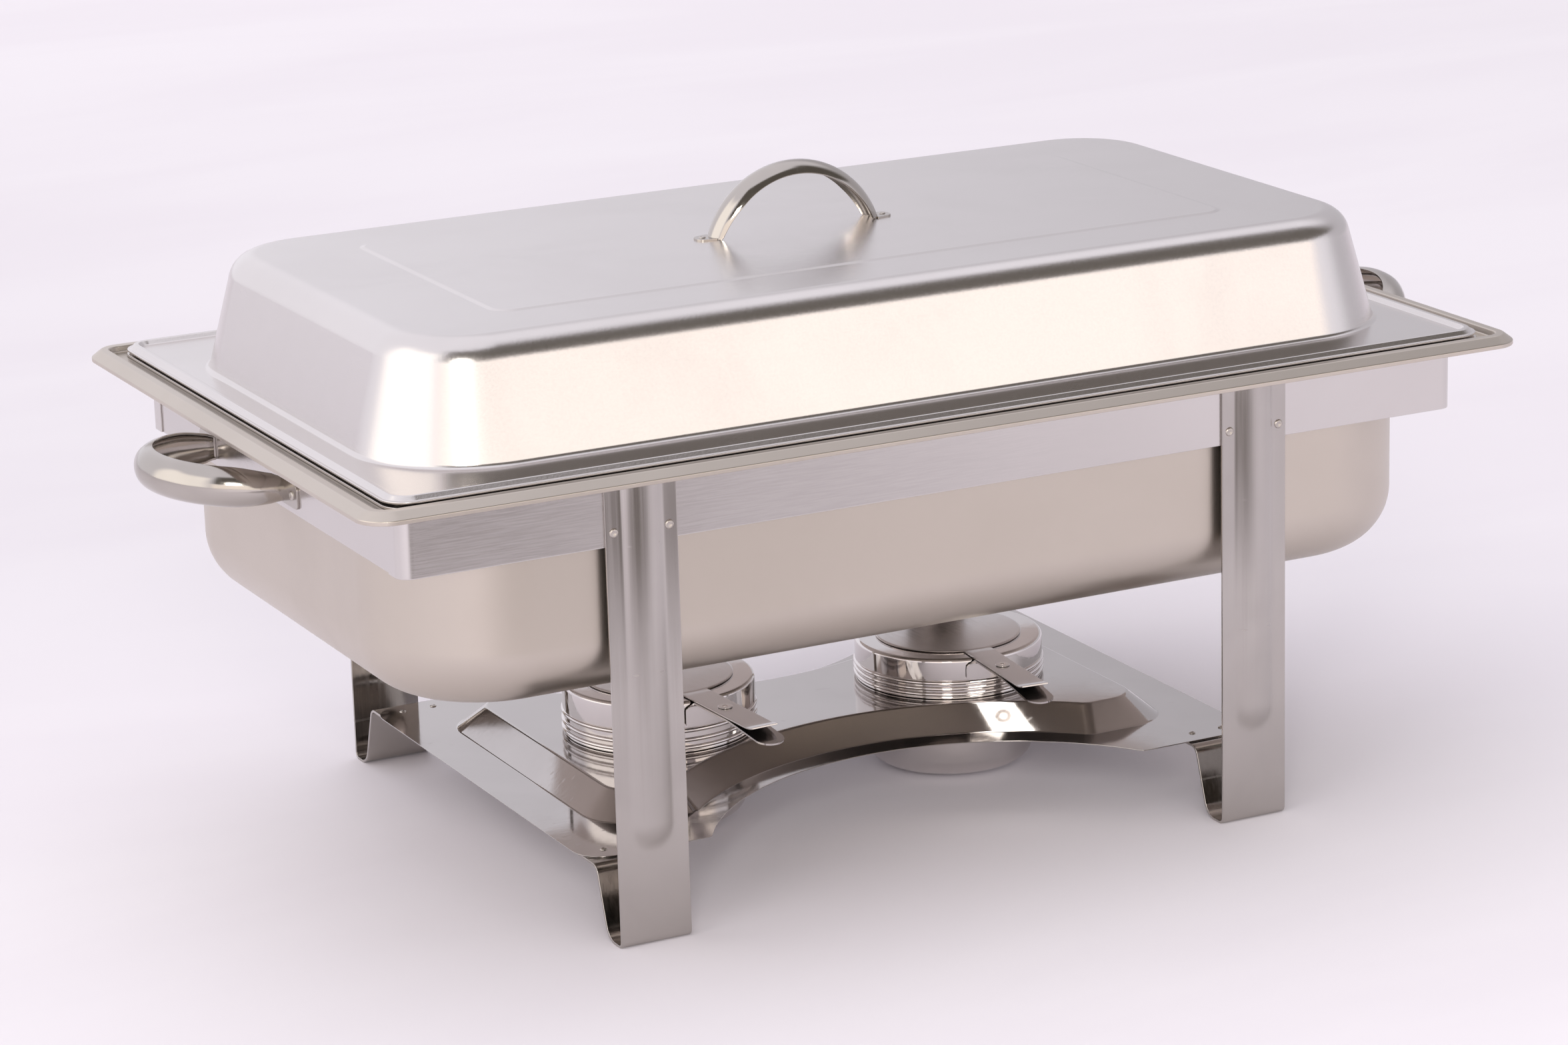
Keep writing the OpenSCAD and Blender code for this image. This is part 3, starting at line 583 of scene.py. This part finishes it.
BOW_R, BOW_Y, BOW_Z = 45, 24, 185.3
BOW_OUT = {-1: 50, 1: 53.6}         # how far the bow stands out of the end plate
BOW_TILT = {-1: radians(6), 1: radians(24)}
BOW_HALF, LID_HANDLE_HALF = (5.6, 9.0), (6.4, 8.6)      # half width at the ends and in the middle
RIPPLES, RIPPLE = 17, 0.10          # faint bending marks along the bow
LID_HANDLE_R = 44.6
BOW_T, LID_HANDLE_T = 1.0, 0.9
BOW_SPOT, LUG_X, LUG_SPOT = 53, 40.6, 45.5


def lug(sheet, corners, seg, place, flip=False):
    """Flat lug with rounded corners; place turns its (out, along) into a point."""
    edge = sheet.row([place(a, b) for a, b in fillet(corners, seg)])
    sheet.face(edge[::-1] if flip else edge)


def bow_piece(side, s):
    root = sides("skirt_right")[1].x
    tilt, reach = BOW_TILT[s], BOW_OUT[s] - BOW_R
    slim, full = BOW_HALF
    straight = [reach * k / 5 for k in range(5)]
    half_turn = [-pi / 2 + pi * k / 48 for k in range(49)]
    # distance from the plate, direction out of the bow's centre, and angle of the ripple
    path = [(x, Vector((0, -1)), 0.0) for x in straight]
    path += [(reach, Vector((cos(phi), sin(phi))), phi) for phi in half_turn]
    path += [(x, Vector((0, 1)), 0.0) for x in reversed(straight)]
    rows = []
    for i, (base, out, phi) in enumerate(path):
        share = min(i, len(path) - 1 - i) / (len(path) / 2)
        ease = min(1.0, share / 0.42)
        size = slim + (full - slim) * ease * ease * (3 - 2 * ease)
        row = []
        for k in range(17):
            psi = radians(-82 + 164 * k / 16)
            ripple = RIPPLE * sin(phi * RIPPLES) * cos(psi)
            rad = BOW_R - size + (size + ripple) * cos(psi)
            x, y, z = base + out.x * rad, out.y * rad, size * sin(psi)
            from_plate, height = x * cos(tilt) - z * sin(tilt), x * sin(tilt) + z * cos(tilt)
            row.append(Vector((s * (root + max(from_plate, 0.05)), y - BOW_Y * s, BOW_Z + height)))
        rows.append(row)
    sheet = Sheet()
    sheet.join(rows, flip=s > 0)
    corners = [(41, -5.5, 0), (59, -5.5, 2.5), (59, 5.5, 2.5), (41, 5.5, 0)]
    face = s * (root + BOW_T)
    for d in (-1, 1):
        lug(sheet, corners, 5, lambda a, b: Vector((face, d * a - BOW_Y * s, BOW_Z + b)), s * d < 0)
    sheet.piece("handle_" + side, HANDLE, "frame", BOW_T, 0.2, merge=0)


def lid_handle_piece():
    lo, hi = sides("lid_handle")
    base, mid_z = lo.z, hi.z - LID_HANDLE_R
    foot = asin((base - mid_z) / LID_HANDLE_R)
    slim, full = LID_HANDLE_HALF
    steps = 56
    rows = []
    for i in range(steps + 1):
        a = foot + (pi - 2 * foot) * i / steps
        edge = min(i, steps - i) / (steps / 2)
        size = slim + (full - slim) * min(1.0, edge / 0.35) ** 0.7
        row = []
        for k in range(17):
            psi = radians(-66 + 132 * k / 16)
            rad = LID_HANDLE_R - size + size * cos(psi)
            row.append(Vector((rad * cos(a), size * sin(psi), max(mid_z + rad * sin(a), base + 0.02))))
        rows.append(row)
    sheet = Sheet()
    sheet.join(rows)
    corners = [(0, -5.6, 0), (8.4, -3.6, 3.4), (8.4, 3.6, 3.4), (0, 5.6, 0)]
    for s in (-1, 1):
        lug(sheet, corners, 6, lambda a, b: Vector((s * (LUG_X + a), s * b, base + THIN)))
    sheet.piece("lid_handle", HANDLE, "lid", LID_HANDLE_T, 0.15, merge=0)


# ---- rivets and spot welds ----

LEG_RIVET, SHELF_RIVET, GRIP_RIVET = 2.1, 1.6, 1.3      # radius of a head
LEG_SPOT_X, LEG_SPOT_Z = 12.7, 183
SHELF_SPOT_X, SHELF_SPOT_Y = (140.5, 156), 111.5
GRIP_SPOT_TURN, GRIP_SPOT_BELOW = radians(7.5), 7
# radius and height of a low domed head with a shallow dimple, as shares of its radius
HEAD = ((0, 0.16), (0.25, 0.18), (0.45, 0.3), (0.62, 0.33), (0.8, 0.27), (0.93, 0.14), (1.0, 0.0))


def rivet_set(node, body, places, size, material=SPOT):
    """Heads at places, which are (point, outward direction)."""
    sheet = Sheet()
    for at, out in places:
        turn = Vector(out).to_track_quat("Z", "Y").to_matrix()
        rows = lathe([(r * size, z * size) for r, z in HEAD], 24)
        sheet.join([[Vector(at) + turn @ p for p in row] for row in rows], around=True)
    sheet.piece(node, material, body, merge=1e-5)


def rivet_pieces():
    for end, y in (("front", -1), ("back", 1)):
        for side, x in SIDES:
            places = [((x * LEG_X + d * LEG_SPOT_X, y * LEG_FACE, LEG_SPOT_Z), (0, y, 0)) for d in (-1, 1)]
            rivet_set("leg_rivets_%s_%s" % (end, side), "frame", places, LEG_RIVET)
    border = sides("shelf")[0].z + THIN
    places = [((s * x, y * SHELF_SPOT_Y, border), (0, 0, 1))
              for s in (-1, 1) for x in SHELF_SPOT_X for y in (-1, 1)]
    rivet_set("shelf_rivets", "frame", places, SHELF_RIVET)
    lug_face = sides("skirt_right")[1].x + BOW_T
    for side, s in SIDES:
        places = [((s * lug_face, d * BOW_SPOT - BOW_Y * s, BOW_Z), (s, 0, 0)) for d in (-1, 1)]
        rivet_set("handle_rivets_" + side, "frame", places, LEG_RIVET)
        r, spot_z = COVER_R + 0.95, sides("cover_" + side)[1].z - GRIP_SPOT_BELOW
        places = []
        for d in (-1, 1):
            a = GRIP_SPOT_TURN * d + BURNER_TURN[s]
            places.append(((s * BURNER_X + r * sin(a), -r * cos(a), spot_z), (sin(a), -cos(a), 0)))
        rivet_set("grip_rivets_" + side, "burner_" + side, places, GRIP_RIVET, WELD)
    lug_top = sides("lid_handle")[0].z + THIN
    places = [((s * LUG_SPOT, 0, lug_top), (0, 0, 1)) for s in (-1, 1)]
    rivet_set("lid_handle_rivets", "lid", places, SHELF_RIVET)


lid_piece()
food_pan_piece()
water_pan_piece()
band_pieces()
for y_name, y_sign in (("front", -1), ("back", 1)):
    for x_name, x_sign in SIDES:
        leg_piece("leg_%s_%s" % (y_name, x_name), x_sign, y_sign)
shelf_piece()
for x_name, x_sign in SIDES:
    cup_piece(x_name, x_sign)
    cover_piece(x_name, x_sign)
    snuffer_piece(x_name, x_sign)
    grip_piece(x_name, x_sign)
    bow_piece(x_name, x_sign)
    eyelet_piece(x_name, x_sign)
lid_handle_piece()
rivet_pieces()


# ---- floor ----

# colour of the painted shade on the floor in front
PAINTED_FLOOR_SHADE = (0.22, 0.20, 0.195)


def make_floor():
    """White cloth with faint folds, and a stretch of painted shade in front."""
    grid = bmesh.new()
    bmesh.ops.create_grid(grid, x_segments=60, y_segments=60, size=12.0)
    me = bpy.data.meshes.new("floor")
    grid.to_mesh(me)
    grid.free()
    mat, nodes, links, shader = node_tree("floor_cloth")
    place = nodes.new("ShaderNodeTexCoord")
    folds = noise_node(nodes, links, place, (1.5, 4.0, 1.0), 4.0, 0.5, 0.6)
    tone = ranged(nodes, links, folds, 0.3, 0.7, 0.0, 1.0)
    cloth = mixed(nodes, links, tone, (0.80, 0.765, 0.81), (0.83, 0.80, 0.84))
    # a darker stretch in front, outside the camera's view: painted shade on the floor, which the polished
    # front sides mirror
    split = nodes.new("ShaderNodeSeparateXYZ")
    links.new(place.outputs["Object"], split.inputs[0])
    x, y = split.outputs["X"], split.outputs["Y"]
    edges = ((y, -0.80, -0.44, 1.0, 0.0), (y, -1.35, -1.0, 0.0, 1.0),
             (x, -0.05, 0.65, 1.0, 0.0), (x, -0.6, -0.25, 0.0, 1.0))
    painted_shade = 1.0
    for value, start, end, first, last in edges:
        share = ranged(nodes, links, value, start, end, first, last)
        painted_shade = math_node(nodes, links, "MULTIPLY", painted_shade, share)
    links.new(mixed(nodes, links, painted_shade, cloth, PAINTED_FLOOR_SHADE), shader.inputs["Base Color"])
    shader.inputs["Roughness"].default_value = 0.9
    shader.inputs["Specular IOR Level"].default_value = 0.1
    bump = bump_node(nodes, links, folds, 0.12, 0.02)
    links.new(bump.outputs["Normal"], shader.inputs["Normal"])
    me.materials.append(mat)
    floor = bpy.data.objects.new("floor", me)
    scene.collection.objects.link(floor)


# ---- light; azimuth from the front (-Y) towards the left (-X), elevation up, in degrees ----

ROOM = (1.03, 1.01, 1.08)
# azimuths and elevations between which a patch of the room fades in and out, and its colour
PATCHES = (((-170, -140, -80, -55), (-20, -5, 30, 50), (0.62, 0.60, 0.64)),
           ((-105, -75, 42, 56), (21.5, 25, 60, 68), (0.15, 0.135, 0.12)),
           ((-48, -32, 46, 58), (-30, -20, 20, 23.5), (1.6, 1.46, 1.36)),
           ((52, 64, 116, 134), (-20, -5, 44, 56), (1.7, 1.63, 1.58)))
COOL, WARM = (1.0, 0.98, 1.0), (1.0, 0.97, 0.92)


def direction(az, el):
    a, e = radians(az), radians(el)
    return Vector((-sin(a) * cos(e), -cos(a) * cos(e), sin(e)))


def make_world():
    """A pale room with a dimmer side, a dark stretch high in front and two bright patches."""
    world = bpy.data.worlds.new("studio")
    scene.world = world
    world.use_nodes = True
    nodes, links = world.node_tree.nodes, world.node_tree.links

    def calc(op, a, b):
        return math_node(nodes, links, op, a, b)

    def window(value, a, b, c, d):
        rise = ranged(nodes, links, value, a, b, 0.0, 1.0)
        return calc("MULTIPLY", rise, ranged(nodes, links, value, c, d, 1.0, 0.0))

    place = nodes.new("ShaderNodeTexCoord")
    split = nodes.new("ShaderNodeSeparateXYZ")
    links.new(place.outputs["Generated"], split.inputs[0])
    left, front = (calc("MULTIPLY", split.outputs[axis], -1.0) for axis in ("X", "Y"))
    around = calc("MULTIPLY", calc("ARCTAN2", left, front), 180 / pi)
    above = calc("MULTIPLY", calc("ARCSINE", split.outputs["Z"], 0.0), 180 / pi)
    color = ROOM
    for az, el, patch in PATCHES:
        share = calc("MULTIPLY", window(around, *az), window(above, *el))
        color = mixed(nodes, links, share, color, patch)
    back = nodes["Background"]
    links.new(color, back.inputs["Color"])
    back.inputs["Strength"].default_value = 1.0


def area(name, place, aim, size, power, color, glossy=True):
    data = bpy.data.lights.new(name, "AREA")
    data.shape, data.size, data.size_y = "RECTANGLE", *size
    data.energy, data.color = power, color
    lamp = bpy.data.objects.new(name, data)
    lamp.location = place
    lamp.rotation_euler = (Vector(aim) - Vector(place)).to_track_quat("-Z", "Y").to_euler()
    lamp.visible_glossy = glossy
    lamp.visible_camera = False
    scene.collection.objects.link(lamp)


def make_lights():
    area("overhead", (0.2, 0.3, 3.2), (0, 0, 0), (4.5, 4.5), 25, COOL, False)
    area("front_fill", 3 * direction(10, 17), (0, 0, 0), (3.2, 1.0), 35, COOL, False)
    area("back_fill", 3 * direction(190, 17), (0, 0, 0), (3.2, 1.0), 5, COOL, False)
    # a glint under the right burner's grip, seen mirrored in the platform's wall
    pivot = Matrix.Rotation(BURNER_TURN[1], 3, "Z") @ Vector((0, -PIVOT_Y, 0))
    glint = (pivot + Vector((BURNER_X, 0, sides("grip_right")[1].z - 1.15))) * MM
    area("glint", glint, glint - Vector((0, 0, 1)), (0.0128, 0.030), 0.006, WARM)
    area("window", 2.6 * direction(29, 30), (0, 0, 0.1), (0.45, 0.5), 9, WARM)


make_floor()
make_world()
make_lights()

bpy.context.view_layer.update()
